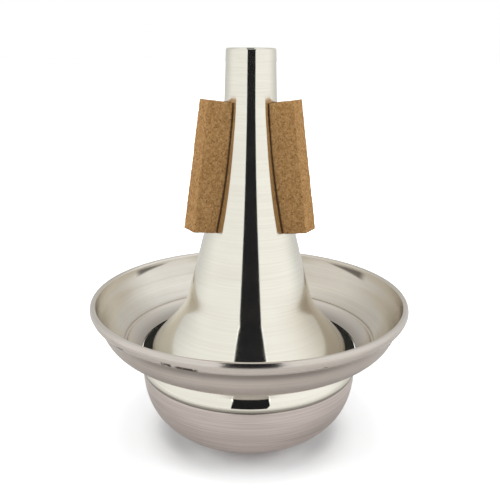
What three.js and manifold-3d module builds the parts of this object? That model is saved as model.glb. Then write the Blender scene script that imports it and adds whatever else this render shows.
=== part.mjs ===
// Trumpet cup mute: a spun metal mute with a lift-off spun cup, standing on its foot. Millimetres, +Z up,
// origin at the centre of the foot, the front of the mute towards -Y.
import * as THREE from 'three';
import * as BufferGeometryUtils from 'three/addons/utils/BufferGeometryUtils.js';
import Module from 'manifold-3d';

// Body heights, stacked from the foot to the mouth.
const bowlHeight = 25.6;
const flareHeight = 16.4;
const throatHeight = 7.5;
const lowerConeHeight = 20.5;
const coneHeight = 45.7;
const neckHeight = 16.5;

// Body radii, to the outside of the metal.
const footRadius = 12;
const bandRadius = 38.5;
const flareRadius = 24.5;
const throatRadius = 21.3;
const coneRadius = 16;
const neckRadius = 8.75;
const mouthRadius = 8.15;

// How fast the body widens on its way down, as radius over height, and the radius of its rounded band.
const shoulderSlopeShare = 0.87;
const flareSlopeShare = 0.78;
const throatSlopeShare = 0.275;
const coneSlopeShare = 0.255;
const neckSlopeShare = 0.075;
const mouthSlopeShare = 0.02;
const bandRound = 6.5;

// Sheet metal and the lap joint between the cone shell and the bowl.
const bodyWall = 0.8;
const bowlSideShare = 0.84;
const bowlFloorShare = 0.32;
const seamStep = 0.2;
const seamBevel = 0.3;
const lapHeight = 3;

// The cup: its hole sits above the seam, and its floor, knee, wall and rim rise from there.
const holeAboveSeam = 6.2;
const floorWidth = 6.9;
const floorRise = 3.8;
const kneeWidth = 5.8;
const kneeRise = 5.4;
const wallRise = 6.5;
const kneeSlopeShare = 0.54;
const wallSlopeShare = 0.5;
const cupWall = 0.9;

// The bead that is pressed up around the inside of the cup's floor, where the knee begins.
const beadWidth = 1.6;
const beadHeight = 0.35;
const beadCrestShares = [0.33, 0.67];

// The rim of the cup, rolled outwards and down over itself.
const rimRadius = 56;
const rimWidth = 2.1;
const rimCrown = 1;
const rimDrop = 3.8;
const rimLean = 0.7;
const hemDraw = 1.1;
const hemWall = 0.45;
const hemGap = 0.3;

// The soft ring that grips the shoulder of the body inside the hole of the cup.
const gripWidth = 2.6;
const gripHeight = 2;
const gripEdge = 0.9;
const gripSag = 1.2;

// The cork strips: where they lie on the cone, and how far their outer faces stand from the axis.
const corkCount = 3;
const corkBelowMouth = 16.8;
const corkLength = 42.6;
const corkTopReach = 17.3;
const corkFootReach = 23.4;
const corkTopWidth = 6.6;
const corkFootWidth = 7.8;

// Clearance between pieces that touch or are glued, and the overrun of every cutting body.
const fitGap = 0.3;
const cutOverrun = 4;

// How finely the round forms are divided.
const turnFacets = 60;
const quarterTurn = Math.PI / 2;

const seamHeight = bowlHeight;
const shoulderAngle = Math.atan(shoulderSlopeShare);
const bandCentre = bandRadius - bandRound;
const shoulderRadius = bandCentre + bandRound * Math.cos(shoulderAngle);
const shoulderTop = seamHeight + bandRound * Math.sin(shoulderAngle);
const flareTop = shoulderTop + flareHeight;
const throatTop = flareTop + throatHeight;
const coneFoot = throatTop + lowerConeHeight;
const neckFoot = coneFoot + coneHeight;
const mouthTop = neckFoot + neckHeight;

const finishes = {
  polished: { color: 0xe4e0d6, roughness: 0.22, metalness: 1 },
  satin: { color: 0xb8afa8, roughness: 0.45, metalness: 1 },
  cupMetal: { color: 0xc9c4ba, roughness: 0.3, metalness: 1 },
  cork: { color: 0xa87b48, roughness: 0.95, metalness: 0 },
  foam: { color: 0x1d1f1c, roughness: 0.95, metalness: 0 },
};

// A point of a turned outline: distance from the axis, then height.
function at(radius, height) {
  return new THREE.Vector2(radius, height);
}

// A smooth stretch of outline between two points whose widening, as radius over height, is given.
function sweep(from, fromSlope, to, toSlope, steps) {
  const third = (to.y - from.y) / 3;
  const leave = at(from.x + fromSlope * third, from.y + third);
  const arrive = at(to.x - toSlope * third, to.y - third);
  return new THREE.CubicBezierCurve(from, leave, arrive, to).getPoints(steps);
}

// An arc of outline about a centre, with separate half widths across and along the axis.
function arc(centre, across, along, start, end, steps) {
  const curve = new THREE.EllipseCurve(centre.x, centre.y, across, along, start, end, end < start);
  return curve.getPoints(steps);
}

// Joins stretches of outline end to end, dropping the points that two stretches share.
function join(...stretches) {
  const tiny = fitGap / 1000;
  const points = [];
  for (const point of stretches.flat()) {
    const last = points[points.length - 1];
    if (!last || last.distanceTo(point) > tiny) points.push(point);
  }
  return points;
}

// The same outline moved sideways, to the left of its direction for a positive distance.
function offset(points, distance) {
  return points.map((point, i) => {
    const before = points[Math.max(i - 1, 0)];
    const after = points[Math.min(i + 1, points.length - 1)];
    const along = after.clone().sub(before).normalize();
    return at(point.x - along.y * distance, point.y + along.x * distance);
  });
}

// Turns an outline about the mute's axis. A closed outline returns to its first point.
function turn(points, closed) {
  const outline = closed ? [...points, points[0].clone()] : points;
  return new THREE.LatheGeometry(outline, turnFacets).rotateX(quarterTurn);
}

const wasm = await Module();
wasm.setup();

// Takes a three.js geometry into a solid that can be cut.
function toSolid(geometry) {
  const bare = geometry.clone();
  bare.deleteAttribute('normal');
  bare.deleteAttribute('uv');
  const merged = BufferGeometryUtils.mergeVertices(bare, fitGap / 1000);
  const vertProperties = new Float32Array(merged.getAttribute('position').array);
  const triVerts = new Uint32Array(merged.getIndex().array);
  return new wasm.Manifold(new wasm.Mesh({ numProp: 3, vertProperties, triVerts }));
}

// Brings a cut solid back as a three.js geometry.
function toGeometry(solid) {
  const { numProp, vertProperties, triVerts } = solid.getMesh();
  const vertices = new THREE.InterleavedBuffer(vertProperties, numProp);
  const geometry = new THREE.BufferGeometry();
  geometry.setAttribute('position', new THREE.InterleavedBufferAttribute(vertices, 3, 0));
  geometry.setIndex(new THREE.BufferAttribute(triVerts, 1));
  const flat = geometry.toNonIndexed();
  flat.computeVertexNormals();
  return flat;
}

// The outside of the cone shell from the seam up to the mouth: rounded band, flare, cone and neck.
function bodyLine() {
  const band = arc(at(bandCentre, seamHeight), bandRound, bandRound, 0, shoulderAngle, 4);
  const shoulder = at(shoulderRadius, shoulderTop);
  const flare = at(flareRadius, flareTop);
  const throat = at(throatRadius, throatTop);
  const cone = at(coneRadius, coneFoot);
  const neck = at(neckRadius, neckFoot);
  const mouth = at(mouthRadius, mouthTop - bodyWall / 2);
  return join(
    band,
    sweep(shoulder, -shoulderSlopeShare, flare, -flareSlopeShare, 2),
    sweep(flare, -flareSlopeShare, throat, -throatSlopeShare, 4),
    sweep(throat, -throatSlopeShare, cone, -coneSlopeShare, 2),
    sweep(cone, -coneSlopeShare, neck, -neckSlopeShare, 5),
    sweep(neck, -neckSlopeShare, mouth, -mouthSlopeShare, 1),
  );
}

// The body's outside radius at a height, read off its outline.
function bodyRadiusAt(height) {
  const line = bodyLine();
  const above = line.findIndex((point) => point.y >= height);
  const low = line[above - 1];
  const high = line[above];
  return THREE.MathUtils.mapLinear(height, low.y, high.y, low.x, high.x);
}

// Upper shell of the body, one spun sheet that is open at both ends, with a rounded mouth. Its inner line
// is led in from straight below, which cuts the edge at the seam square to the axis.
function coneShell() {
  const outside = bodyLine();
  const inside = offset([at(bandRadius, 0), ...outside], bodyWall).slice(1).reverse();
  const mouthCentre = at(mouthRadius - bodyWall / 2, mouthTop - bodyWall / 2);
  const lip = arc(mouthCentre, bodyWall / 2, bodyWall / 2, 0, Math.PI, 4).slice(1, -1);
  return turn(join(outside, lip, inside), true);
}

// Lower shell of the body: flat foot, rounded bowl, and a stepped-in edge that laps inside the cone shell.
function bowlShell() {
  const bowlRadius = bandRadius - seamStep;
  const bowlTop = seamHeight - fitGap - seamBevel;
  const flank = at(bowlRadius, bowlTop * (1 - bowlSideShare));
  const belly = at(THREE.MathUtils.lerp(footRadius, bowlRadius, bowlFloorShare), 0);
  const bowlCurve = new THREE.CubicBezierCurve(at(footRadius, 0), belly, flank, at(bowlRadius, bowlTop));
  const bowl = bowlCurve.getPoints(13);
  const bevel = at(bowlRadius - seamBevel, seamHeight - fitGap);
  const lapOuter = bandRound - bodyWall - fitGap;
  const lapInner = lapOuter - bodyWall;
  const lapAngle = Math.asin(lapHeight / lapOuter);
  const bandMiddle = at(bandCentre, seamHeight);
  const lapOutside = arc(bandMiddle, lapOuter, lapOuter, 0, lapAngle, 2);
  const lapInside = arc(bandMiddle, lapInner, lapInner, lapAngle, 0, 2);
  const lapRoot = at(bandCentre + lapOuter, seamHeight - fitGap);
  const step = at(bandCentre + lapInner, bowlTop);
  const stepFoot = at(bowlRadius - bodyWall, bowlTop - bodyWall);
  const inside = offset(bowl, bodyWall).slice(0, -1).reverse();
  const outline = join(
    [at(0, 0)],
    bowl,
    [bevel, lapRoot],
    lapOutside,
    lapInside,
    [step, stepFoot],
    inside,
    [at(0, bodyWall)],
  );
  return turn(outline, false);
}

// The underside and outside of the cup, from its hole up to where the rim starts to roll.
function cupLine(holeRadius) {
  const hole = at(holeRadius, seamHeight + holeAboveSeam);
  const floorEnd = at(holeRadius + floorWidth, hole.y + floorRise);
  const kneeEnd = at(floorEnd.x + kneeWidth, floorEnd.y + kneeRise);
  const wallEnd = at(rimRadius - rimWidth + cupWall - rimLean, kneeEnd.y + wallRise);
  return join(
    [hole],
    sweep(floorEnd, floorWidth / floorRise, kneeEnd, kneeSlopeShare, 4),
    sweep(kneeEnd, kneeSlopeShare, wallEnd, wallSlopeShare, 3),
  );
}

// The bead of the cup's floor, from its knee side to its hole side, raised over a line between those two.
function beadLine(kneeFoot, holeTop) {
  const along = holeTop.clone().sub(kneeFoot).normalize();
  const crest = at(along.y, -along.x).multiplyScalar(beadHeight);
  const crests = beadCrestShares.map((share) => kneeFoot.clone().addScaledVector(along, beadWidth * share));
  return [...crests.map((point) => point.add(crest)), kneeFoot.clone().addScaledVector(along, beadWidth)];
}

// The cup: hole, sloping floor, bead, knee, flared wall and the rim rolled over into a hem that stops short.
function cupShell(holeRadius) {
  const outside = cupLine(holeRadius);
  const wallEnd = outside[outside.length - 1];
  const inside = offset(outside.slice(1), cupWall);
  const floorAngle = Math.atan(floorRise / floorWidth);
  const holeTop = at(holeRadius, outside[0].y + cupWall / Math.cos(floorAngle));
  const crownCentre = at(rimRadius - rimWidth / 2, wallEnd.y + rimDrop - rimCrown);
  const crown = arc(crownCentre, rimWidth / 2, rimCrown, 0, Math.PI, 8);
  const hemFoot = at(rimRadius - hemDraw, wallEnd.y);
  const hem = new THREE.QuadraticBezierCurve(
    hemFoot,
    at(rimRadius, crownCentre.y - rimCrown),
    at(rimRadius, crownCentre.y),
  ).getPoints(4);
  const slotRadius = rimRadius - rimWidth + cupWall + hemGap / 2;
  const slotTop = at(slotRadius, crownCentre.y - hemGap);
  const hemInside = [at(slotRadius + hemGap / 2, slotTop.y - hemGap), at(hemFoot.x - hemWall, hemFoot.y)];
  const wallTop = at(slotRadius - hemGap / 2, slotTop.y - hemGap);
  const bead = beadLine(inside[0], holeTop);
  const outline = join(outside, [wallTop, slotTop], hemInside, hem, crown, inside.reverse(), bead, [holeTop]);
  return turn(outline, true);
}

// The grip ring: a wedge of soft black foam between the hole of the cup and the sloping shoulder, with its
// top squeezed down along the shoulder.
function gripRing(holeRadius) {
  const top = seamHeight + holeAboveSeam + gripEdge;
  const sunk = top - gripSag;
  const foot = top - gripHeight;
  const outer = holeRadius - fitGap;
  const shoulderGap = fitGap / Math.cos(shoulderAngle);
  const outline = [
    at(bodyRadiusAt(foot) + shoulderGap, foot),
    at(outer, top - gripEdge),
    at(outer, top),
    at(bodyRadiusAt(sunk) + shoulderGap, sunk),
  ];
  return turn(outline, true);
}

// One cork strip along +X: a tapered block with ends square to the cone, hollowed underneath to its seat.
function corkStrip() {
  const top = mouthTop - corkBelowMouth;
  const foot = top - corkLength;
  const topSeat = bodyRadiusAt(top);
  const footSeat = bodyRadiusAt(foot);
  const tilt = (footSeat - topSeat) / corkLength;
  const topLift = (corkTopReach - topSeat) * tilt;
  const footLift = (corkFootReach - footSeat) * tilt;
  const side = new THREE.Shape([
    at(0, top - topSeat * tilt),
    at(0, foot - footSeat * tilt),
    at(corkFootReach, foot + footLift),
    at(corkTopReach, top + topLift),
  ]);
  const sideDepth = corkFootWidth + 2 * cutOverrun;
  const profile = new THREE.ExtrudeGeometry(side, { depth: sideDepth, bevelEnabled: false });
  profile.translate(0, 0, -sideDepth / 2).rotateX(quarterTurn);

  const spread = (corkFootWidth - corkTopWidth) / corkLength / 2;
  const high = top + cutOverrun;
  const low = foot - cutOverrun;
  const highHalf = corkTopWidth / 2 - spread * cutOverrun;
  const lowHalf = corkFootWidth / 2 + spread * cutOverrun;
  const front = new THREE.Shape([
    at(-highHalf, high),
    at(-lowHalf, low),
    at(lowHalf, low),
    at(highHalf, high),
  ]);
  const frontDepth = corkFootReach + cutOverrun;
  const plan = new THREE.ExtrudeGeometry(front, { depth: frontDepth, bevelEnabled: false });
  plan.rotateX(quarterTurn).rotateZ(quarterTurn);

  const seatLine = offset(bodyLine(), -fitGap);
  const seatFoot = at(0, seatLine[0].y);
  const seatTop = at(0, seatLine[seatLine.length - 1].y);
  const seat = turn([seatFoot, ...seatLine, seatTop], false);
  return toGeometry(toSolid(profile).intersect(toSolid(plan)).subtract(toSolid(seat)));
}

// A named piece with its own material.
function piece(name, geometry, finish) {
  const mesh = new THREE.Mesh(geometry, new THREE.MeshStandardMaterial(finishes[finish]));
  mesh.name = name;
  return mesh;
}

const holeHeight = seamHeight + holeAboveSeam;
const cupHole = bodyRadiusAt(holeHeight) + gripWidth + 2 * fitGap;

const body = new THREE.Group();
body.add(piece('cone_shell', coneShell(), 'polished'));
body.add(piece('bowl_shell', bowlShell(), 'satin'));
const corkGeometry = corkStrip();
for (let i = 0; i < corkCount; i++) {
  const cork = piece(`cork_strip_${i + 1}`, corkGeometry.clone(), 'cork');
  cork.rotation.z = quarterTurn + (i * 2 * Math.PI) / corkCount;
  body.add(cork);
}

const cup = new THREE.Group();
cup.add(piece('cup_shell', cupShell(cupHole), 'cupMetal'));
cup.add(piece('grip_ring', gripRing(cupHole), 'foam'));

const mute = new THREE.Group();
mute.add(body, cup);

export default mute;
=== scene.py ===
"""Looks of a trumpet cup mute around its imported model: turned shells, cork strips, grip ring and studio."""

import math

import bmesh
import bpy
import numpy as np
from bpy.props import FloatProperty, FloatVectorProperty, IntProperty, PointerProperty
from mathutils import Matrix, Vector, noise


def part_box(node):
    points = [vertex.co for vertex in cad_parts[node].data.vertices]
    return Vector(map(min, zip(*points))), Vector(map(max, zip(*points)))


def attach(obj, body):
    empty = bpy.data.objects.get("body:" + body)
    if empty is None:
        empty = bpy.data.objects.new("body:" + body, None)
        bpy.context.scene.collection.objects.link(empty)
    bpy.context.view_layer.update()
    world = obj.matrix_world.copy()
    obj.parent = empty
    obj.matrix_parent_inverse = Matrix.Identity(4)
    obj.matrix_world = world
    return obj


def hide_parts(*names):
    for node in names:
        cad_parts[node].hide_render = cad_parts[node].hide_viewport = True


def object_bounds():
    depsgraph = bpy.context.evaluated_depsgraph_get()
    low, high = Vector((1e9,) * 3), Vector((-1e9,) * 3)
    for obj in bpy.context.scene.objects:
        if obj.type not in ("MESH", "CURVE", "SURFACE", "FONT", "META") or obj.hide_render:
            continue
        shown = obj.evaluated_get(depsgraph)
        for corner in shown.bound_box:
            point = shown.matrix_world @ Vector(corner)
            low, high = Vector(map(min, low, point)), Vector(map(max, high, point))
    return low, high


bl_info = {
    "name": "Trumpet Cup Mute",
    "version": (1, 0, 0),
    "blender": (4, 5, 0),
    "location": "3D View > Sidebar > Cup Mute",
    "description": "Builds the spun shells, cork strips, grip ring and studio of a trumpet cup mute",
    "category": "Object",
}

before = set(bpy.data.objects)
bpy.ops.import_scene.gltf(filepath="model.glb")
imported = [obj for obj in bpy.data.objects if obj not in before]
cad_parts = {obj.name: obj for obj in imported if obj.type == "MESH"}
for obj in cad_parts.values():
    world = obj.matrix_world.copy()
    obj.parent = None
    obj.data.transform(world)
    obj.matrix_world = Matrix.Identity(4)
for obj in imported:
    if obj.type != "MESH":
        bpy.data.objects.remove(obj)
cad_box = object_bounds()

TOUCHING = 1e-6
FULL_TURN = 2 * math.pi
SENSOR_WIDTH = 36
BLACK = (0, 0, 0)
WHITE = (1, 1, 1)

# Outlines: the turn that makes a corner, the steps that break it, and the share of a stretch it may take.
CORNER_TURN = math.radians(47)
CORNER_STEPS = 4
CORNER_SHARE = 0.4

# Edges of the solids that the pieces and their finishes follow. Lengths are in metres.
MUTE_TOP = cad_box[1].z
SEAM_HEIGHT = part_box("cone_shell")[0].z
CUP_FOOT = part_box("cup_shell")[0].z
RIM_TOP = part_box("cup_shell")[1].z
HEM_FOOT = RIM_TOP - 0.0038

# A pair says where something comes in and where it is whole, and a fade's pair where it starts and ends.

# The fuller shoulder: heights over which it fills and fades out, and how fast it widens downwards.
SHOULDER_RISE = (0.0283, 0.0362)
SHOULDER_FADE = (0.033, 0.047)
SHOULDER_SLOPE = 0.78

# The radius between the grip ring's inner and outer side, and how far the two blend there.
GRIP_MIDDLE = 0.0374
GRIP_BLEND = 0.0006

# The rolled rim: its widest line on the solid and on the finished piece, where its roll starts,
# how much lower the hem's foot is, and the radii and heights over which the foot comes in.
ROLL_SOLID = RIM_TOP - 0.001
ROLL_WIDEST = RIM_TOP - 0.0019
ROLL_START = (0.05495, 0.0553)
HEM_DEEPER = 0.0004
FOOT_START = (0.05395, 0.05415)
FOOT_REACH = 0.0012
FOOT_BLEND = 0.001

# The turning marks: how much of their noise makes the metal dull, and the angle across them, in turns.
POLISH_DULL = (0.3, 0.75)
SATIN_DULL = (0.28, 0.72)
CUP_DULL = (0.3, 0.7)
ACROSS_MARKS = 0.25

# How squarely a surface faces away from the axis, and the share of its reach over which a mark is whole.
FACING_OUT = (0.0, 0.25)
LEVEL_CORE = 0.4

# The buffed band above the seam, and how far the painted shade in the seam reaches above and below it.
BAND_TOP = SEAM_HEIGHT + 0.007
BAND_BLEND = 0.001
SEAM_SHADE_ABOVE = 0.0012
SEAM_SHADE_BELOW = 0.0006

# Sides run from -1 on the left to 1 on the right. Painted shade lies beside the flare's foot and on the cup's
# inner sides.
FLARE_SHADE_SIDE = (0.3, 1.0)
FLARE_SHADE_RISE = (0.031, 0.034)
FLARE_SHADE_FADE = (0.048, 0.062)
SIDE_SHADE_RIGHT = (-0.1, 0.7)
SIDE_SHADE_LEFT = (-0.75, -0.95)

# Radii of the bead around the cup's floor and of the painted shade around its hole.
BEAD_RADIUS = 0.0444
BEAD_BLEND = 0.0005
HOLE_SHADE = (0.0432, 0.0386)

# The bright hem, and the painted shadow in the crease under its front: its height and reach, the cup's wall
# that it lies on, and how far round it goes, from 0 at the sides to -1 in front.
HEM_START = (0.0543, 0.0547)
HEM_BLEND = 0.0004
CREASE_HEIGHT = HEM_FOOT - 0.0013
CREASE_REACH = (0.0033, 0.0003)
CREASE_WALL = (0.0546, 0.0543)
CREASE_FRONT = (-0.6, -1)

# Nicks along the hem: direction and reach in degrees, then height over the hem's foot and reach in metres.
NICKS = (
    (-26, 2.2, 0.0004, 0.0008),
    (-19.2, 4.4, 0.0002, 0.0008),
    (-46, 2.4, 0.0002, 0.0005),
    (24, 1.0, 0.0003, 0.0003),
)
NICK_CORE = 0.6
CHIPS_PER_METRE = 900
CHIP_EDGE = (0.3, 0.44)

# Painted dark reflections inside the rim: directions of tip and root in degrees, heights of both, half depth
# at the root.
DARK_REFLECTIONS = (
    (-143, -124.5, 0.0497, 0.0489, 0.0011),
    (145, 123.5, 0.0499, 0.0486, 0.0014),
)
REFLECTION_EDGE = (-0.0004, 0.0006)
REFLECTION_TIP = (0.0, 0.3)
REFLECTION_ROOT = (0.9, 1.15)

# The cork's crumbs, grains, tears and pushes along one granule, a push's reach in granules,
# and the granules along one wave of its surface.
CRUMBS = 1.6
GRAINS = 1.7
TEARS = 3.1
PUSHES = 0.6
PUSH_REACH = 0.7
GRANULES_PER_WAVE = 7

# Which crumbs are specks of bark, how near the gap between granules and in what grain a pit lies,
# the grain's usual value, and how much granule and grain lighten the cork.
SPECKS = (0.88, 0.97)
GAP = (0.0, 0.12)
PIT_GRAIN = (0.45, 0.65)
GRAIN_MIDDLE = 0.43
GRANULE_LIGHT = 0.55
GRAIN_LIGHT = 2.2
GLUE_SHADE_CORE = 0.3

# The foam's clouds along one pore, the pores along one wave of its surface, and what of both is worn.
CLOUDS = 0.4
PORES_PER_WAVE = 5
WORN_PORE = (0.3, 0.7)
WORN_CLOUD = (0.45, 0.7)


def screen(red, green, blue):
    """A colour as it looks on a screen, 0 to 255 each, as the linear values that shaders work in."""
    parts = (value / 255 for value in (red, green, blue))
    return tuple(part / 12.92 if part < 0.04045 else ((part + 0.055) / 1.055) ** 2.4 for part in parts)


def number(name, description, default, unit="NONE"):
    """A property that holds a number."""
    return FloatProperty(name=name, description=description, default=default, unit=unit)


def length(name, description, default):
    """A property that holds a length in metres."""
    return FloatProperty(name=name, description=description, default=default, precision=5, unit="LENGTH")


def angle(name, description, degrees):
    """A property that holds an angle."""
    return FloatProperty(name=name, description=description, default=math.radians(degrees), subtype="ANGLE")


def colour(name, description, default):
    """A property that holds a colour."""
    return FloatVectorProperty(
        name=name, description=description, default=default, subtype="COLOR", size=3, min=0, max=1
    )


def share(name, description, default):
    """A property that holds a share from 0 to 1."""
    return FloatProperty(name=name, description=description, default=default, min=0, max=1, subtype="FACTOR")


class ShellSettings(bpy.types.PropertyGroup):
    """Sizes of the spun shells' meshes and the finish of their metal."""

    facets: IntProperty(name="Facets", description="Flat faces in one turn of a shell", default=300, min=24)
    step: length("Step", "Spacing of the rings of vertices along an outline", 0.0005)
    edge: length("Edge", "How far the broken edge of a sheet reaches from its corner", 0.00014)
    shoulder_fill: length("Shoulder fill", "How much fuller the shoulder is than the solid's", 0.00145)
    line_spacing: length("Line spacing", "Distance between the fine turning marks", 0.00035)
    line_relief: length("Line relief", "Depth of the fine turning marks", 0.0000008)
    polish: colour("Polished metal", "Bright spun aluminium of the cone", screen(240, 237, 225))
    polish_dull: colour("Polished metal, dull", "Streaks in the bright metal", screen(233, 229, 216))
    polish_streaks: length("Polished streaks", "Spacing of the streaks on the cone", 0.004)
    polish_rough: share("Polished roughness", "Roughness of the cone", 0.12)
    polish_uneven: share("Polished unevenness", "How much the cone's roughness varies", 0.06)
    band_rough: share("Band roughness", "Roughness of the buffed band above the seam", 0.045)
    # The tarnish colour also paints the shade beside the flare's foot and on the cup's inner sides.
    tarnish_and_shade: colour("Tarnish", "Duller, browner metal", screen(176, 160, 134))
    flare_shade: share("Flare tarnish", "How much tarnish lies beside the flare's foot", 0.5)
    satin: colour("Satin metal", "Brushed aluminium of the bowl", screen(240, 229, 224))
    satin_dull: colour("Satin metal, dull", "Darker turning marks of the bowl", screen(208, 197, 191))
    satin_streaks: length("Satin streaks", "Spacing of the streaks on the bowl", 0.0025)
    satin_rough: share("Satin roughness", "Roughness of the bowl", 0.4)
    satin_uneven: share("Satin unevenness", "How much the bowl's roughness varies", 0.16)
    satin_relief: length("Satin relief", "Depth of the bowl's turning marks", 0.000002)
    cup: colour("Cup metal", "Spun aluminium of the cup", screen(235, 232, 223))
    cup_dull: colour("Cup metal, dull", "Darker turning marks of the cup", screen(221, 216, 207))
    cup_streaks: length("Cup streaks", "Spacing of the streaks on the cup", 0.003)
    cup_rough: share("Cup roughness", "Roughness of the cup's inside", 0.2)
    cup_uneven: share("Cup unevenness", "How much the cup's roughness varies with its streaks", 0.08)
    cup_patchy: share("Cup patches", "How much the cup's roughness varies from patch to patch", 0.1)
    cup_outside: colour("Cup outside", "Brushed outside of the cup", screen(216, 207, 200))
    cup_outside_dull: colour("Cup outside, dull", "Darker marks outside the cup", screen(196, 187, 179))
    cup_outside_rough: share("Cup outside roughness", "Roughness of the cup's outside", 0.33)
    # The cup's floor inside the bead is painted darker.
    cup_floor: colour("Cup floor", "Duller metal inside the cup's bead", screen(206, 199, 190))
    floor_darkening: share("Cup floor, dull", "How much of that duller metal the floor shows", 0.7)
    # Left and right: painted shade on the cup's inner sides. All round: a faint browner tint of the cup's
    # inside.
    side_shade_left: share("Stain, left", "Tarnish inside the cup on its left", 0.24)
    side_shade_right: share("Stain, right", "Tarnish inside the cup on its right", 0.26)
    stain_all: share("Stain, all round", "Tarnish inside the cup all round", 0.09)
    hem_bright: share("Hem brightness", "How much brighter the hem is than the cup's outside", 0.25)
    # The grime colour also paints shade in the seam, around the cup's hole and in the crease under the hem,
    # and paints dark reflections inside the rim.
    grime_and_shade: colour("Grime", "Polish and dirt left in creases and nicks", screen(70, 62, 55))
    # Painted shade in the seam.
    seam_shade: share("Seam dirt", "How strongly dirt darkens the seam", 0.6)
    # Painted shade around the cup's hole.
    hole_shading: share("Hole dirt", "How strongly dirt darkens the metal around the cup's hole", 0.36)
    # Painted shadow in the crease under the hem.
    crease_shadow: share("Crease dirt", "How strongly dirt darkens the crease under the hem", 0.55)
    # Painted dark reflections inside the rim.
    reflection_darkness: share("Smudge dirt", "How strongly the smudges inside the rim show", 0.8)


class CorkSettings(bpy.types.PropertyGroup):
    """Sizes and colours of the cork strips."""

    voxel: length("Voxel", "Size of the faces that a strip is remeshed to", 0.00028)
    seating: length("Seating", "How far the underside moves in to sit in its glue on the cone", 0.00046)
    # The glue line is also painted contact shade where a strip meets the cone.
    glue_and_shade: length("Glue", "Height of the dark glue line where a strip meets the cone", 0.00032)
    granule: length("Granule", "Size of the granules pressed into the cork", 0.0007)
    relief: length("Relief", "Depth of the cut granules and pits in the surface", 0.00012)
    wander: length("Wander", "How far the knife-cut edges wander", 0.00022)
    light: colour("Light granule", "Palest cork granules", screen(187, 148, 97))
    body: colour("Cork", "Main colour of the cork", screen(134, 96, 54))
    # The dark granule colour is also the colour of the glue line and its painted contact shade.
    dark: colour("Dark granule", "Bark and pits in the cork", screen(70, 46, 26))
    speck_dark: share("Specks", "How dark the specks of bark are", 0.5)
    pit_dark: share("Pits", "How dark the pits are", 0.55)
    # Darkness of the glue line and its painted contact shade.
    glue_and_shade_dark: share("Glue line", "How dark the glue is", 0.85)
    rough: share("Roughness", "Roughness of the cut cork", 0.85)
    uneven: share("Unevenness", "How much that roughness varies", 0.1)
    gloss: share("Gloss", "Strength of the cork's sheen", 0.25)


class GripSettings(bpy.types.PropertyGroup):
    """Size and colour of the soft ring that grips the shoulder."""

    pressed: length("Pressed", "How far the ring's inner side moves in to bear on the shoulder", 0.0005)
    lifted: share("Lifted", "How much of the ring's depth below the cup is squeezed up into its hole", 0.7)
    foam: colour("Foam", "Soft black foam", screen(30, 31, 28))
    foam_worn: colour("Foam, worn", "Rubbed edges of the foam", screen(58, 58, 52))
    pore: length("Pore", "Size of the foam's pores", 0.0006)
    relief: length("Relief", "Unevenness of the foam's surface", 0.00008)
    rough: share("Roughness", "Roughness of the foam", 0.95)
    uneven: share("Unevenness", "How much that roughness varies", 0.06)
    gloss: share("Gloss", "Strength of the foam's sheen", 0.3)


class StudioSettings(bpy.types.PropertyGroup):
    """Camera, floor, light tent and the dark opening in front."""

    floor: colour("Floor", "White paper floor", (0.87, 0.89, 0.9))
    floor_lift: share("Floor glow, under", "Light that the paper gives to the lens under the mute", 0.11)
    floor_clear: share("Floor glow, clear", "The same clear of the mute's own shadow", 0.33)
    floor_hugging: share("Floor shadow", "How much darker the shadow is beside the bowl", 0.3)
    floor_mirrored: colour("Floor, mirrored", "The paper near the mute in its metal", (0.56, 0.55, 0.54))
    tent: number("Tent", "Brightness of the tent in reflections", 0.98)
    tent_rear: number("Tent, rear", "Brightness behind the mute", 0.66)
    tent_slant: share("Tent, slant", "How much darker the tent is on the left, and brighter right", 0.04)
    opening: colour("Opening", "The dark opening in front", screen(32, 32, 35))
    opening_again: share("Opening, again", "Its brightness once it is mirrored twice", 0.8)
    opening_distance: length("Opening distance", "From the axis to the dark opening", 0.32)
    hem_glow: number("Opening hems", "Brightness of the opening's hems", 1.5)
    ambient: number("Ambient", "Soft light from all sides", 0.45)
    side_power: number("Side lamps", "Power of each side lamp in watts", 3.9, unit="POWER")
    top_power: number("Top lamp", "Power of the lamp overhead in watts", 3.6, unit="POWER")
    lens: number("Lens", "Focal length in millimetres", 52.47, unit="CAMERA")
    pitch: angle("Pitch", "Camera's look down", 17.0)
    roll: angle("Roll", "Camera's roll", 0.43)
    place: FloatVectorProperty(
        name="Camera place",
        description="Where the camera stands",
        default=(0.00013, -0.2445, 0.1429),
        unit="LENGTH",
    )


def outline_of(node):
    """Points (radius, height) of a turned node's section, walked along its edges in the front half plane.

    The second value tells whether the outline is a closed loop. An open one ends on the axis."""
    work = bmesh.new()
    work.from_mesh(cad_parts[node].data)
    bmesh.ops.remove_doubles(work, verts=work.verts, dist=TOUCHING)
    section = {v for v in work.verts if abs(v.co.x) < TOUCHING and v.co.y < TOUCHING}
    links = {v: [o for o in (e.other_vert(v) for e in v.link_edges) if o in section] for v in section}
    start = min(section, key=lambda v: (len(links[v]), v.co.z, -v.co.y))
    closed = len(links[start]) == 2
    before, here, points = None, start, []
    while here is not None:
        points.append((max(0.0, -here.co.y), here.co.z))
        ahead = [v for v in links[here] if v is not before and v is not start]
        before, here = here, ahead[0] if ahead else None
    work.free()
    if len(points) != len(section):
        raise RuntimeError(f"{node}: its section has {len(section)} points, and the walk met {len(points)}")
    return np.array(points), closed


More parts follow.
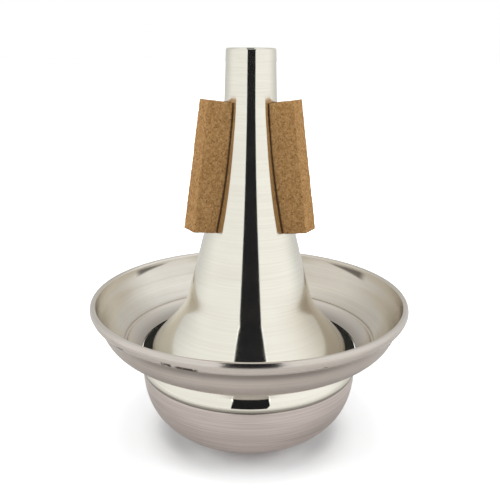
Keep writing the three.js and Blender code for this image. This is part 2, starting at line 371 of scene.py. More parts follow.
def spline(points, step):
    """A smooth curve through points, sampled about every step. Two points stay a straight line.

    It is a cubic spline whose bend, the second derivative, is solved for at each point. Its end
    stretches bend evenly."""
    chords = np.linalg.norm(np.diff(points, axis=0), axis=1)
    spans = np.sqrt(chords)
    count = len(points)
    rows, wanted = np.eye(count), np.zeros((count, 2))
    for i in range(1, count - 1):
        rows[i, i - 1 : i + 2] = spans[i - 1], 2 * (spans[i - 1] + spans[i]), spans[i]
        wanted[i] = 6 * ((points[i + 1] - points[i]) / spans[i] - (points[i] - points[i - 1]) / spans[i - 1])
    if count > 2:
        rows[0, 1] = rows[-1, -2] = -1
    bends = np.linalg.solve(rows, wanted)
    curve = []
    for i in range(count - 1):
        t = np.linspace(0, 1, max(2, math.ceil(chords[i] / step)), endpoint=False)[:, None]
        bend = ((1 - t) ** 3 - (1 - t)) * bends[i] + (t**3 - t) * bends[i + 1]
        curve.append((1 - t) * points[i] + t * points[i + 1] + bend * spans[i] ** 2 / 6)
    return np.vstack([*curve, points[-1:]])


def corners_of(points, closed):
    """Indices of the outline's sharp corners. An open outline's two ends count as corners."""
    ahead = np.roll(points, -1, axis=0) - points
    angles = np.arctan2(ahead[:, 1], ahead[:, 0])
    turns = np.abs((angles - np.roll(angles, 1) + math.pi) % FULL_TURN - math.pi)
    sharp = [i for i in range(len(points)) if turns[i] > CORNER_TURN]
    if not closed:
        sharp = sorted({0, len(points) - 1, *sharp})
    return sharp


def eased(curve, edge, at_start, at_end):
    """The curve with its ends drawn back from their corners, to leave room for broken edges."""
    curve = curve.copy()
    for wanted, end, inner in ((at_start, 0, 1), (at_end, -1, -2)):
        if wanted:
            along = curve[inner] - curve[end]
            reach = np.linalg.norm(along)
            curve[end] = curve[end] + along / reach * min(edge, CORNER_SHARE * reach)
    return curve


def smooth_outline(node, step, edge):
    """A turned node's outline with smooth curves between its corners, and with each corner broken."""
    points, closed = outline_of(node)
    sharp = corners_of(points, closed)
    ends = sharp[1:] + ([sharp[0] + len(points)] if closed else [])
    result = []
    for start, end in zip(sharp, ends):
        stretch = points[np.arange(start, end + 1) % len(points)]
        keeps_start = closed or start != sharp[0]
        keeps_end = closed or end != ends[-1]
        curve = eased(spline(stretch, step), edge, keeps_start, keeps_end)
        result.append((curve, stretch[-1] if keeps_end else None))
    outline = []
    for i, (curve, corner) in enumerate(result):
        outline.extend(curve)
        if corner is not None:
            after = result[(i + 1) % len(result)][0][0]
            for t in np.arange(1, CORNER_STEPS) / CORNER_STEPS:
                outline.append((1 - t) ** 2 * curve[-1] + 2 * t * (1 - t) * corner + t**2 * after)
    return np.array(outline), closed


def turned_mesh(name, outline, closed, facets):
    """A smooth mesh of an outline turned about the mute's axis. Points on the axis become single vertices."""
    angles = np.arange(facets) * FULL_TURN / facets
    places, rings = [], []
    for radius, height in outline:
        first = len(places)
        if radius < TOUCHING:
            places.append((0, 0, height))
            rings.append([first] * facets)
        else:
            places.extend(zip(radius * np.sin(angles), -radius * np.cos(angles), [height] * facets))
            rings.append(list(range(first, first + facets)))
    pairs = list(zip(rings, rings[1:] + rings[:1])) if closed else list(zip(rings, rings[1:]))
    faces = []
    for low, high in pairs:
        for k in range(facets):
            after = (k + 1) % facets
            faces.append(list(dict.fromkeys((low[k], low[after], high[after], high[k]))))
    mesh = bpy.data.meshes.new(name)
    mesh.from_pydata(places, [], faces)
    return face_outwards(mesh)


def face_outwards(mesh):
    """Turns a closed mesh's faces to look outwards, and shades them smooth."""
    work = bmesh.new()
    work.from_mesh(mesh)
    bmesh.ops.recalc_face_normals(work, faces=work.faces)
    for face in work.faces:
        face.smooth = True
    work.to_mesh(mesh)
    work.free()
    return mesh


def vertex_values(mesh, name):
    """The places or normals of a mesh's vertices, one row each."""
    values = np.empty(len(mesh.vertices) * 3, np.float32)
    mesh.vertices.foreach_get(name, values)
    return values.reshape(-1, 3)


def piece(mesh, material, body, slot, *nodes):
    """Puts a finished mesh into the scene as a piece that rides on a body and stands for CAD nodes."""
    made = bpy.data.objects.new(mesh.name, mesh)
    bpy.context.scene.collection.objects.link(made)
    mesh.materials.clear()
    mesh.materials.append(material)
    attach(made, body)
    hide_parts(*nodes)
    return made


class Term:
    """A shader socket that can be used in a Python expression. Each operation adds a Math node."""

    def __init__(self, paint, socket):
        self.paint = paint
        self.socket = socket

    def output(self, name):
        """Another output of the same node."""
        return Term(self.paint, self.socket.node.outputs[name])

    def __add__(self, other):
        return self.paint.maths("ADD", self, other)

    def __sub__(self, other):
        return self.paint.maths("SUBTRACT", self, other)

    def __rsub__(self, other):
        return self.paint.maths("SUBTRACT", other, self)

    def __mul__(self, other):
        return self.paint.maths("MULTIPLY", self, other)

    def __truediv__(self, other):
        return self.paint.maths("DIVIDE", self, other)

    def __pow__(self, other):
        return self.paint.maths("POWER", self, other)

    def __abs__(self):
        return self.paint.maths("ABSOLUTE", self)

    __radd__ = __add__
    __rmul__ = __mul__

    def ramp(self, start, whole):
        """0 up to start, 1 from whole on, and a smooth rise between. With start above whole it falls."""
        settings = {"interpolation_type": "SMOOTHSTEP"}
        inputs = {"Value": self, "From Min": start, "From Max": whole, "To Min": 0, "To Max": 1}
        return self.paint.node("ShaderNodeMapRange", settings, inputs)

    def between(self, rise, fade):
        """1 from the end of the rise to the start of the fade, and 0 outside both."""
        return self.ramp(*rise) * self.ramp(*reversed(fade))

    def swing(self, reach):
        """Noise from 0 to 1 as a change about 0 that is reach wide."""
        return (self - 0.5) * reach


class Paint:
    """Builds the node tree of a material or of the world."""

    def __init__(self, owner):
        owner.use_nodes = True
        self.owner = owner
        self.tree = owner.node_tree
        self.tree.nodes.clear()

    def node(self, kind, settings=None, inputs=None, output=0):
        """Adds a node: its settings are set first, then the values or links of its sockets."""
        made = self.tree.nodes.new(kind)
        for key, value in (settings or {}).items():
            setattr(made, key, value)
        for key, value in (inputs or {}).items():
            if isinstance(value, Term):
                self.tree.links.new(value.socket, made.inputs[key])
            else:
                made.inputs[key].default_value = value
        return Term(self, made.outputs[output]) if len(made.outputs) else made

    def maths(self, operation, *terms):
        """A Math node of numbers and links."""
        return self.node("ShaderNodeMath", {"operation": operation}, dict(enumerate(terms)))

    def vectors(self, operation, inputs):
        """A Vector Math node."""
        return self.node("ShaderNodeVectorMath", {"operation": operation}, inputs)

    def mix(self, factor, first, second):
        """A colour between two, which are colours or links."""
        sides = [side if isinstance(side, Term) else (*side, 1) for side in (first, second)]
        inputs = {0: factor, 6: sides[0], 7: sides[1]}
        return self.node("ShaderNodeMix", {"data_type": "RGBA"}, inputs, output=2)

    def layered(self, base, *layers):
        """A colour under layers, each of which is a mask and the colour that it brings."""
        for mask, tint in layers:
            base = self.mix(mask, base, tint)
        return base

    def here(self):
        """The shaded point in the mute's own frame."""
        return self.node("ShaderNodeTexCoord", output="Object")

    def scattered(self, vector, scale, detail=2.0, roughness=0.5):
        """Soft noise from 0 to 1."""
        inputs = {"Vector": vector, "Scale": scale, "Detail": detail, "Roughness": roughness}
        return self.node("ShaderNodeTexNoise", None, inputs)

    def cells(self, vector, scale, feature="F1", output="Distance"):
        """Voronoi cells: the distance to a cell's middle, or the random colour of each cell."""
        inputs = {"Vector": vector, "Scale": scale}
        return self.node("ShaderNodeTexVoronoi", {"feature": feature}, inputs, output)

    def channel(self, name, tint):
        """One channel of a colour."""
        return self.node("ShaderNodeSeparateColor", None, {0: tint}, output=name)

    def relief(self, height, depth):
        """A normal that shows a height from 0 to 1 as a relief of that depth."""
        return self.node("ShaderNodeBump", None, {"Strength": 1, "Distance": depth, "Height": height})

    def end(self, surface):
        """Ends a material with this surface."""
        self.node("ShaderNodeOutputMaterial", None, {"Surface": surface})
        return self.owner

    def finish(self, inputs):
        """Ends a material with a Principled shader that has these inputs."""
        return self.end(self.node("ShaderNodeBsdfPrincipled", None, inputs))

    def metal(self, tint, rough, relief, drawn_out=0.6):
        """Ends a material as turned metal, whose reflections are drawn out across its turning marks."""
        return self.finish(
            {
                "Base Color": tint,
                "Metallic": 1,
                "Roughness": rough,
                "Anisotropic": drawn_out,
                "Anisotropic Rotation": ACROSS_MARKS,
                "Normal": relief,
            }
        )

    def emission(self, tint, strength=1):
        """A surface that gives light."""
        return self.node("ShaderNodeEmission", None, {"Color": tint, "Strength": strength})


def material(name):
    """A new material and the paint for it."""
    return Paint(bpy.data.materials.new(name))


class Turning:
    """Where the shaded point is on a turned shell: its height, and its radius and direction from the axis."""

    def __init__(self, paint):
        self.paint = paint
        split = paint.node("ShaderNodeSeparateXYZ", None, {0: paint.here()}, output="X")
        self.x, self.y, self.height = split, split.output("Y"), split.output("Z")
        self.radius = (self.x * self.x + self.y * self.y) ** 0.5

    def side(self):
        """-1 on the left of the axis, 1 on its right."""
        return self.x / self.radius

    def behind(self):
        """-1 in front of the axis, 1 behind it."""
        return self.y / self.radius

    def angle(self):
        """The direction from the axis in radians: 0 in front, and growing to the right."""
        return self.paint.maths("ARCTAN2", self.x, 0 - self.y)

    def outside(self):
        """1 where the surface looks away from the axis, 0 where it looks towards it."""
        normal = self.paint.node("ShaderNodeTexCoord", output="Normal")
        split = self.paint.node("ShaderNodeSeparateXYZ", None, {0: normal}, output="X")
        return ((split * self.x + split.output("Y") * self.y) / self.radius).ramp(*FACING_OUT)

    def level(self, height, reach):
        """1 at a height, falling to 0 at that reach above and below it."""
        return abs(self.height - height).ramp(reach, reach * LEVEL_CORE)

    def marks(self, spacing, sweep, detail=2.0, shift=0.0):
        """Turning marks: noise that changes over spacing along the section and slowly around the axis."""
        parts = {0: self.side() * sweep, 1: self.behind() * sweep, 2: self.radius / spacing}
        around = self.paint.node("ShaderNodeCombineXYZ", None, parts)
        inputs = {"Vector": around, "W": self.height / spacing + shift, "Scale": 1.0, "Detail": detail}
        return self.paint.node("ShaderNodeTexNoise", {"noise_dimensions": "4D"}, inputs)


def polished_metal(settings):
    """Bright spun aluminium with faint turning marks, and painted shade beside the flare's foot and in the
    seam; the band above the seam is buffed brighter.
    """
    paint = material("polished_metal")
    turning = Turning(paint)
    fine = turning.marks(settings.line_spacing, sweep=0.6)
    broad = turning.marks(settings.polish_streaks, sweep=0.6, shift=40)
    dull = (fine * 0.6 + broad * 0.4).ramp(*POLISH_DULL)
    # Painted shade beside the foot of the flare, on its right.
    tarnish_and_shade = turning.side().ramp(*FLARE_SHADE_SIDE) * turning.height.between(FLARE_SHADE_RISE, FLARE_SHADE_FADE)
    # Painted shade in the seam, where the gap between the shells lies.
    seam = turning.level(SEAM_HEIGHT, SEAM_SHADE_ABOVE) * turning.outside()
    band = turning.height.ramp(BAND_TOP + BAND_BLEND, BAND_TOP - BAND_BLEND)
    rough = settings.polish_rough + broad.swing(settings.polish_uneven) + fine.swing(settings.polish_uneven)
    tint = paint.layered(
        settings.polish,
        (dull, settings.polish_dull),
        (tarnish_and_shade * settings.flare_shade, settings.tarnish_and_shade),
        (seam * settings.seam_shade, settings.grime_and_shade),
    )
    rough = rough + band * (settings.band_rough - rough)
    return paint.metal(tint, rough, paint.relief(fine, settings.line_relief), drawn_out=0.9)


def satin_metal(settings):
    """Brushed aluminium of the bowl, with closer and deeper turning marks and painted shade in the seam."""
    paint = material("satin_metal")
    turning = Turning(paint)
    fine = turning.marks(settings.line_spacing, sweep=1.2, detail=3.0)
    broad = turning.marks(settings.satin_streaks, sweep=0.9, shift=20)
    dull = (fine * 0.7 + broad * 0.3).ramp(*SATIN_DULL)
    # Painted shade in the seam, where the gap between the shells lies.
    seam = turning.level(SEAM_HEIGHT, SEAM_SHADE_BELOW) * turning.outside()
    tint = paint.layered(
        settings.satin,
        (dull, settings.satin_dull),
        (seam * settings.seam_shade, settings.grime_and_shade),
    )
    rough = settings.satin_rough + fine.swing(settings.satin_uneven)
    return paint.metal(tint, rough, paint.relief(fine, settings.satin_relief))


def cup_metal(settings):
    """Spun aluminium of the cup, tinted inside, brushed outside, with painted shade on its inner sides,
    around its hole and under its hem, painted dark reflections inside the rim, and nicks along the hem.
    """
    paint = material("cup_metal")
    turning = Turning(paint)
    outside = turning.outside()
    fine = turning.marks(settings.line_spacing, sweep=0.8)
    broad = turning.marks(settings.cup_streaks, sweep=0.7, shift=60)
    patches = paint.scattered(paint.here(), scale=45, detail=3.0, roughness=0.6)
    dull = (fine * 0.4 + broad * 0.25 + patches * 0.35).ramp(*CUP_DULL)
    hem = turning.height.ramp(HEM_FOOT - HEM_BLEND, HEM_FOOT + HEM_BLEND) * turning.radius.ramp(*HEM_START)
    inner = inside_cup(turning, dull, settings)
    outer = paint.layered(
        settings.cup_outside,
        (dull, settings.cup_outside_dull),
        (hem * settings.hem_bright, settings.cup),
    )
    # Dark nicks along the hem, and painted dark reflections inside the rim.
    marks = hem_nicks(turning) * outside + dark_reflections(turning) * (1 - outside) * settings.reflection_darkness
    # Painted shadow in the crease under the hem.
    crease = hem_crease(turning) * outside * settings.crease_shadow
    tint = paint.layered(inner, (outside, outer), (paint.maths("MAXIMUM", marks, crease), settings.grime_and_shade))
    brushed = outside * (1 - hem)
    rough = settings.cup_rough + brushed * (settings.cup_outside_rough - settings.cup_rough)
    rough = rough + broad.swing(settings.cup_uneven) + patches.swing(settings.cup_patchy)
    return paint.metal(tint, rough, paint.relief(fine, settings.line_relief))


def inside_cup(turning, dull, settings):
    """The cup's inside: painted shade on both sides, and a darker floor with painted shade towards the hole.
    """
    # Painted shade on the cup's inner sides.
    right = turning.side().ramp(*SIDE_SHADE_RIGHT) * settings.side_shade_right
    left = turning.side().ramp(*SIDE_SHADE_LEFT) * settings.side_shade_left
    floor = turning.radius.ramp(BEAD_RADIUS + BEAD_BLEND, BEAD_RADIUS - BEAD_BLEND)
    return turning.paint.layered(
        settings.cup,
        (dull, settings.cup_dull),
        (right + left + settings.stain_all, settings.tarnish_and_shade),
        (floor * settings.floor_darkening, settings.cup_floor),
        # Painted shade around the hole.
        (turning.radius.ramp(*HOLE_SHADE) * settings.hole_shading, settings.grime_and_shade),
    )


def hem_crease(turning):
    """Painted shadow in the crease under the front of the rolled hem."""
    near = abs(turning.height - CREASE_HEIGHT).ramp(*CREASE_REACH)
    return near * turning.behind().ramp(*CREASE_FRONT) * turning.radius.ramp(*CREASE_WALL)


def hem_nicks(turning):
    """Small dark nicks along the foot of the rolled hem, from the tool that rolled it."""
    direction = turning.angle()
    here = turning.paint.here()
    chips = turning.paint.scattered(here, scale=CHIPS_PER_METRE, detail=1.0).ramp(*CHIP_EDGE)
    found = 0
    for middle, reach, height, tall in NICKS:
        reach = math.radians(reach)
        near = abs(direction - math.radians(middle)).ramp(reach, reach * NICK_CORE)
        found = found + near * turning.level(HEM_FOOT + height, tall)
    return found * chips


def dark_reflections(turning):
    """Painted dark reflections inside the rim that taper to a tip."""
    direction = turning.angle()
    found = 0
    for tip, root, tip_height, root_height, depth in DARK_REFLECTIONS:
        along = (direction - math.radians(tip)) / math.radians(root - tip)
        middle = along * (root_height - tip_height) + tip_height
        inside = along * depth - abs(turning.height - middle)
        found = found + inside.ramp(*REFLECTION_EDGE) * along.between(REFLECTION_TIP, REFLECTION_ROOT)
    return found


def cork(settings, bend, rise, foot):
    """Pressed cork: granules of several browns, specks of bark, pits, and a glue line with painted contact
    shade where it meets the cone.

    The cone under the strips has the radius (bend * height + rise) * height + foot."""
    paint = material("cork")
    here = paint.here()
    turning = Turning(paint)
    push = paint.scattered(here, scale=PUSHES / settings.granule).output("Color")
    push = paint.vectors("SCALE", {0: push, "Scale": settings.granule * PUSH_REACH})
    pushed = paint.vectors("ADD", {0: here, 1: push})
    tone = paint.channel("Red", paint.cells(pushed, 1 / settings.granule, output="Color"))
    gaps = paint.cells(pushed, 1 / settings.granule, "DISTANCE_TO_EDGE")
    crumbs = paint.channel("Green", paint.cells(here, CRUMBS / settings.granule, output="Color"))
    grain = paint.scattered(here, scale=GRAINS / settings.granule, detail=3.0, roughness=0.7)
    specks = crumbs.ramp(*SPECKS)
    pits = (1 - gaps.ramp(*GAP)) * grain.ramp(*PIT_GRAIN)
    bed = (turning.height * bend + rise) * turning.height + foot
    # Glue line and painted contact shade beside the cone.
    glue_and_shade = (turning.radius - bed).ramp(settings.glue_and_shade, settings.glue_and_shade * GLUE_SHADE_CORE)
    pale = tone * GRANULE_LIGHT + (grain - GRAIN_MIDDLE) * GRAIN_LIGHT
    tint = paint.layered(
        settings.body,
        (pale, settings.light),
        (specks * settings.speck_dark, settings.dark),
        (pits * settings.pit_dark, settings.dark),
        (glue_and_shade * settings.glue_and_shade_dark, settings.dark),
    )
    height = grain * 0.5 + tone * 0.3 + (1 - specks) * 0.2
    return paint.finish(
        {
            "Base Color": tint,
            "Roughness": settings.rough - grain.swing(settings.uneven),
            "Specular IOR Level": settings.gloss,
            "Normal": paint.relief(height, settings.relief),
        }
    )


def foam(settings):
    """Soft black foam with open pores."""
    paint = material("grip_foam")
    here = paint.here()
    pores = paint.cells(here, 1 / settings.pore)
    cloud = paint.scattered(here, scale=CLOUDS / settings.pore, detail=3.0, roughness=0.6)
    worn = pores.ramp(*WORN_PORE) * cloud.ramp(*WORN_CLOUD)
    return paint.finish(
        {
            "Base Color": paint.mix(worn, settings.foam, settings.foam_worn),
            "Roughness": settings.rough + cloud.swing(settings.uneven),
            "Specular IOR Level": settings.gloss,
            "Normal": paint.relief(pores * 0.7 + cloud * 0.3, settings.relief),
        }
    )


def shell(node, finish, body, slot, reshape=None):
    """Builds one turned piece in place of its CAD node. The outline may be reshaped before it is turned."""
    settings = bpy.context.scene.mute_shells
    outline, closed = smooth_outline(node, settings.step, settings.edge)
    if reshape:
        outline = reshape(outline)
    mesh = turned_mesh(f"{node}_spun", outline, closed, settings.facets)
    return piece(mesh, finish, body, slot, node)


def eased_step(value, low, high):
    """0 up to low, 1 from high on, and a smooth rise between."""
    share_of = np.clip((value - low) / (high - low), 0, 1)
    return share_of**2 * (3 - 2 * share_of)


def shoulder_bulge(height):
    """Share of the shoulder's fill at a height: it grows above the band and fades out up the flare."""
    return eased_step(height, *SHOULDER_RISE) * (1 - eased_step(height, *SHOULDER_FADE))


class MUTE_OT_cone(bpy.types.Operator):
    """Builds the polished upper shell of the body"""

    bl_idname = "mute.cone"
    bl_label = "Cone Shell"

    def execute(self, context):
        settings = context.scene.mute_shells

        def filled(outline):
            outline[:, 0] += settings.shoulder_fill * shoulder_bulge(outline[:, 1])
            return outline

        shell("cone_shell", polished_metal(settings), "body", "polished_metal", filled)
        return {"FINISHED"}


class MUTE_OT_bowl(bpy.types.Operator):
    """Builds the satin lower shell of the body"""

    bl_idname = "mute.bowl"
    bl_label = "Bowl Shell"

    def execute(self, context):
        shell("bowl_shell", satin_metal(context.scene.mute_shells), "body", "satin_metal")
        return {"FINISHED"}


class MUTE_OT_cup(bpy.types.Operator):
    """Builds the cup with its rolled rim"""

    bl_idname = "mute.cup"
    bl_label = "Cup"

    def execute(self, context):
        shell("cup_shell", cup_metal(context.scene.mute_shells), "cup", "cup_metal", self.rolled)
        return {"FINISHED"}

    @staticmethod
    def rolled(outline):
        """Rounds the outer side of the rolled rim more and lets its hem down, at the same width."""
        radius, height = outline.T
        fuller = np.interp(height, (HEM_FOOT, ROLL_SOLID, RIM_TOP), (HEM_FOOT, ROLL_WIDEST, RIM_TOP))
        height += eased_step(radius, *ROLL_START) * (fuller - height)
        foot = eased_step(radius, *FOOT_START) * eased_step(HEM_FOOT + FOOT_REACH - height, 0.0, FOOT_BLEND)
        height -= HEM_DEEPER * foot
        return outline


class MUTE_OT_grip(bpy.types.Operator):
    """Builds the soft ring in the hole of the cup"""

    bl_idname = "mute.grip"
    bl_label = "Grip Ring"

    def execute(self, context):
        settings = context.scene.mute_grip
        fill = context.scene.mute_shells.shoulder_fill

        def squeezed(outline):
            radius, height = outline.T
            inner = eased_step(radius, GRIP_MIDDLE + GRIP_BLEND, GRIP_MIDDLE - GRIP_BLEND)
            rise = settings.lifted * np.maximum(0, CUP_FOOT - height)
            height += rise
            radius += inner * (fill * shoulder_bulge(height) - settings.pressed - SHOULDER_SLOPE * rise)
            return outline

        mesh = shell("grip_ring", foam(settings), "cup", "grip_foam", squeezed).data
        places, normals = vertex_values(mesh, "co"), vertex_values(mesh, "normal")
        for place, normal in zip(places, normals):
            wave = noise.noise(Vector(place) / (settings.pore * PORES_PER_WAVE))
            place += normal * (wave - 0.5) * settings.relief
        mesh.vertices.foreach_set("co", places.ravel())
        mesh.update()
        return {"FINISHED"}


def remeshed(node, voxel):
    """A CAD node's form as an even mesh with small faces."""
    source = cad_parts[node].data.copy()
    work = bpy.data.objects.new(f"{node}_work", source)
    bpy.context.scene.collection.objects.link(work)
    weld = work.modifiers.new("Weld", "WELD")
    weld.merge_threshold = TOUCHING
    even = work.modifiers.new("Even", "REMESH")
    even.mode = "VOXEL"
    even.voxel_size = voxel
    ready = work.evaluated_get(bpy.context.evaluated_depsgraph_get())
    mesh = bpy.data.meshes.new_from_object(ready)
    bpy.data.objects.remove(work)
    bpy.data.meshes.remove(source)
    return mesh


class MUTE_OT_corks(bpy.types.Operator):
    """Builds the cork strips, knife-cut and slightly uneven, seated on the cone"""

    bl_idname = "mute.corks"
    bl_label = "Cork Strips"

    # Reach of a strip's ends, slack of its underside, and how squarely the underside faces the axis.
    end_reach = 0.002
    bed_slack = 0.0005
    facing_axis = (0.2, 0.7)

    # Noise that starts a tear, and how deep a tear is beside a granule.
    tear_start = 0.25
    tear_depth = 1.5

    def execute(self, context):
        settings = context.scene.mute_corks
        strips = sorted(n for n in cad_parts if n.startswith("cork_strip"))
        if not strips:
            raise RuntimeError("the frame has no cork strips")
        finish = cork(settings, *self.bed(strips[0]))
        for node in strips:
            mesh = remeshed(node, settings.voxel)
            mesh.name = f"{node}_cut"
            self.carve(mesh, settings)
            piece(face_outwards(mesh), finish, "body", "cork", node)
        return {"FINISHED"}

    def bed(self, node):
        """The curve of the second degree, radius over height, that the underside of a strip follows."""
        places = vertex_values(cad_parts[node].data, "co")
        radius, height = np.hypot(places[:, 0], places[:, 1]), places[:, 2]
        ends = height.min(), height.max()
        inner = [radius[abs(height - end) < self.end_reach].min() for end in ends]
        under = radius < np.interp(height, ends, inner) + self.bed_slack
        return (float(value) for value in np.polyfit(height[under], radius[under], 2))

    def carve(self, mesh, settings):
        """Cuts granules and pits into a strip, and lets its underside down onto the cone."""
        places, normals = vertex_values(mesh, "co"), vertex_values(mesh, "normal")
        for place, normal in zip(places, normals):
            outward = Vector((place[0], place[1], 0)).normalized()
            here = Vector(place)
            under = eased_step(-Vector(normal).dot(outward), *self.facing_axis)
            rough = noise.noise(here / settings.granule * CRUMBS)
            torn = max(0.0, noise.noise(here / settings.granule * TEARS) - self.tear_start)
            wave = noise.noise(here / (settings.granule * GRANULES_PER_WAVE))
            cut = settings.relief * ((rough - 1) / 2 - torn * self.tear_depth)
            wander = settings.wander * (wave - 0.5) / 2
            place += normal * (cut + wander) - np.array(outward) * settings.seating * under
        mesh.vertices.foreach_set("co", places.ravel())
        mesh.update()


def plate(name, corners, finish):
    """A flat stage piece with these corners."""
    mesh = bpy.data.meshes.new(name)
    mesh.from_pydata(corners, [], [tuple(range(len(corners)))])
    mesh.materials.append(finish)
    made = bpy.data.objects.new(name, mesh)
    bpy.context.scene.collection.objects.link(made)
    return made


def only_in_reflections(made):
    """Leaves a stage piece visible to glossy rays alone."""
    made.visible_camera = False
    made.visible_diffuse = False
    made.visible_transmission = False
    made.visible_volume_scatter = False
    made.visible_shadow = False


class MUTE_OT_studio(bpy.types.Operator):
    """Builds the white floor, light tent, dark opening in front, lamps and camera"""

    bl_idname = "mute.studio"
    bl_label = "Studio"

    # Half the floor's width, and radii on it: far off, under the mute, and clear of its shadow,
    # which comes sooner at the sides. The shadow is darker in a ring on both sides of the bowl.
    floor_reach = 3.0
    radius_far = (0.12, 0.5)
    radius_under = (0.033, 0.019)
    radius_clear = (0.0295, 0.048)
    clear_aside = 0.12
    ring_rise = (0.02, 0.024)
    ring_fade = (0.028, 0.036)
    ring_side = (0.5, 0.9)

    # Over which share of the way round the tent greys towards the back, and slants to the right.
    rear_reach = (-0.2, 0.9)
    slant_reach = (-0.9, 0.9)

    # The dark opening, from its foot up: height, left edge, right edge. Its bright hems start higher,
    # and a ray that comes by a second mirror sees it pale.
    opening_edges = (
        (-0.02, -0.092, 0.092),
        (0.09, -0.09, 0.116),
        (0.2, -0.088, 0.12),
        (0.43, -0.126, 0.156),
        (0.8, -0.204, 0.234),
        (1.6, -0.364, 0.394),
    )
    hem_width = 0.01
    hem_start = 0.1
    second_mirror = (1.2, 1.8)

    # The lamps' size and places; the left one mirrors the right.
    lamp_size = 0.5
    side_lamp = (0.7, -0.15, 0.45)
    top_lamp = (0, 0, 0.9)

    def execute(self, context):
        settings = context.scene.mute_studio
        self.build_floor(settings)
        self.build_opening(settings)
        self.build_tent(context.scene, settings)
        self.build_lamps(settings)
        self.build_camera(context.scene, settings)
        context.scene.view_settings.view_transform = "Standard"
        return {"FINISHED"}

    def tent_shade(self, settings, behind):
        """How bright the tent is in reflections, which is greyer the further behind the mute it is."""
        return settings.tent + behind.ramp(*self.rear_reach) * (settings.tent_rear - settings.tent)

    def build_floor(self, settings):
        """White paper that keeps the mute's shadow and glows a little for the lens and for reflections."""
        paint = material("studio_paper")
        place = Turning(paint)
        camera = paint.node("ShaderNodeLightPath", output="Is Camera Ray")
        mirrored = camera.output("Is Glossy Ray") + camera.output("Is Transmission Ray")
        far = place.radius.ramp(*self.radius_far)
        hugging = place.radius.between(self.ring_rise, self.ring_fade)
        hugging = hugging * abs(place.side()).ramp(*self.ring_side) * settings.floor_hugging
        tint = paint.layered(
            settings.floor,
            (mirrored, settings.floor_mirrored),
            (mirrored * far, BLACK),
            (camera * hugging, BLACK),
        )
        paper = paint.node("ShaderNodeBsdfDiffuse", None, {"Color": tint})
        under = place.radius.ramp(*self.radius_under) * settings.floor_lift
        clear = (place.radius + abs(place.x) * self.clear_aside).ramp(*self.radius_clear)
        clear = clear * settings.floor_clear
        lens = camera * (under + clear + far * (1 - settings.floor_clear))
        lift = lens + mirrored * far * self.tent_shade(settings, place.behind())
        glow = paint.emission(paint.mix(lift, BLACK, WHITE))
        finish = paint.end(paint.node("ShaderNodeAddShader", None, {0: paper, 1: glow}))
        reach = self.floor_reach
        corners = [(-reach, -reach, 0), (reach, -reach, 0), (reach, reach, 0), (-reach, reach, 0)]
        plate("studio_floor", corners, finish)

    def build_opening(self, settings):
        """The dark opening of the tent, which the metal shows as a narrow black strip."""
        paint = material("studio_dark")
        again = paint.node("ShaderNodeLightPath", output="Ray Depth").ramp(*self.second_mirror)
        shade = paint.mix(again, settings.opening, (settings.opening_again,) * 3)
        dark = paint.end(paint.emission(shade))
        depth = -settings.opening_distance
        right = [(edge, depth, height) for height, _, edge in self.opening_edges]
        left = [(edge, depth, height) for height, edge, _ in reversed(self.opening_edges)]
        only_in_reflections(plate("studio_opening", right + left, dark))
        paint = material("studio_hem")
        bright = paint.end(paint.emission((*WHITE, 1), settings.hem_glow))
        for name, side, out in (("left", left, -self.hem_width), ("right", right, self.hem_width)):
            edge = [place for place in side if place[2] > self.hem_start]
            outer = [(x + out, y, z) for x, y, z in reversed(edge)]
            only_in_reflections(plate(f"studio_hem_{name}", edge + outer, bright))

    def build_tent(self, scene, settings):
        """White all round for the lens; softer white for reflections, greyer behind; plain for light."""
        world = bpy.data.worlds.new("studio_tent")
        scene.world = world
        paint = Paint(world)
        direction = paint.node("ShaderNodeTexCoord", output="Generated")
        across = paint.node("ShaderNodeSeparateXYZ", None, {0: direction}, output="X")
        slant = across.ramp(*self.slant_reach).swing(settings.tent_slant * 2) + 1
        camera = paint.node("ShaderNodeLightPath", output="Is Camera Ray")
        glossy = camera.output("Is Glossy Ray")
        mirrored = self.tent_shade(settings, across.output("Y")) * slant
        lit = glossy * mirrored + (1 - glossy) * settings.ambient
        strength = camera + (1 - camera) * lit
        light = paint.node("ShaderNodeBackground", None, {"Color": (*WHITE, 1), "Strength": strength})
        paint.node("ShaderNodeOutputWorld", None, {"Surface": light})

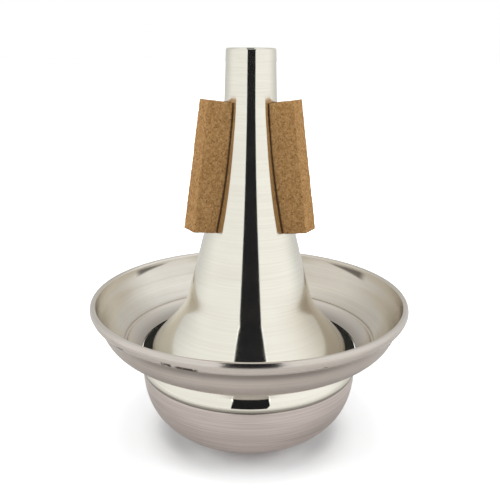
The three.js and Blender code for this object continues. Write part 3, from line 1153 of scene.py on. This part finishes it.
    def build_lamps(self, settings):
        """Soft lamps on both sides and overhead, for cork and floor. The metal shows only the tent."""
        aside, forward, height = self.side_lamp
        places = {
            "left": ((-aside, forward, height), settings.side_power),
            "right": (self.side_lamp, settings.side_power),
            "top": (self.top_lamp, settings.top_power),
        }
        for name, (place, power) in places.items():
            lamp = bpy.data.lights.new(f"studio_lamp_{name}", "AREA")
            lamp.shape = "SQUARE"
            lamp.size = self.lamp_size
            lamp.energy = power
            made = bpy.data.objects.new(lamp.name, lamp)
            made.location = place
            aim = Vector((0, 0, MUTE_TOP / 2)) - made.location
            made.rotation_euler = aim.to_track_quat("-Z", "Y").to_euler()
            made.visible_glossy = False
            bpy.context.scene.collection.objects.link(made)

    def build_camera(self, scene, settings):
        """The photograph's own viewpoint."""
        lens = bpy.data.cameras.new("camera")
        lens.sensor_width = SENSOR_WIDTH
        lens.lens = settings.lens
        made = bpy.data.objects.new("camera", lens)
        tilt = Matrix.Rotation(math.pi / 2 - settings.pitch, 4, "X")
        made.matrix_world = Matrix.Translation(settings.place) @ tilt @ Matrix.Rotation(settings.roll, 4, "Z")
        scene.collection.objects.link(made)
        scene.camera = made


STEPS = (MUTE_OT_cone, MUTE_OT_bowl, MUTE_OT_corks, MUTE_OT_cup, MUTE_OT_grip, MUTE_OT_studio)
SETTINGS = {
    "mute_shells": ShellSettings,
    "mute_corks": CorkSettings,
    "mute_grip": GripSettings,
    "mute_studio": StudioSettings,
}


class MUTE_PT_panel(bpy.types.Panel):
    """Lists the steps that build the mute"""

    bl_idname = "MUTE_PT_panel"
    bl_label = "Trumpet Cup Mute"
    bl_space_type = "VIEW_3D"
    bl_region_type = "UI"
    bl_category = "Cup Mute"

    def draw(self, context):
        for step in STEPS:
            self.layout.operator(step.bl_idname)
        for name, group in SETTINGS.items():
            box = self.layout.box()
            for field in group.__annotations__:
                box.prop(getattr(context.scene, name), field)


def register():
    for group in SETTINGS.values():
        bpy.utils.register_class(group)
    for step in (*STEPS, MUTE_PT_panel):
        bpy.utils.register_class(step)
    for name, group in SETTINGS.items():
        setattr(bpy.types.Scene, name, PointerProperty(type=group))


def unregister():
    for name in SETTINGS:
        delattr(bpy.types.Scene, name)
    for step in (MUTE_PT_panel, *reversed(STEPS)):
        bpy.utils.unregister_class(step)
    for group in SETTINGS.values():
        bpy.utils.unregister_class(group)


def main():
    """Registers the add-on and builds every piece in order."""
    register()
    for step in STEPS:
        family, name = step.bl_idname.split(".")
        getattr(getattr(bpy.ops, family), name)()


if __name__ == "__main__":
    main()
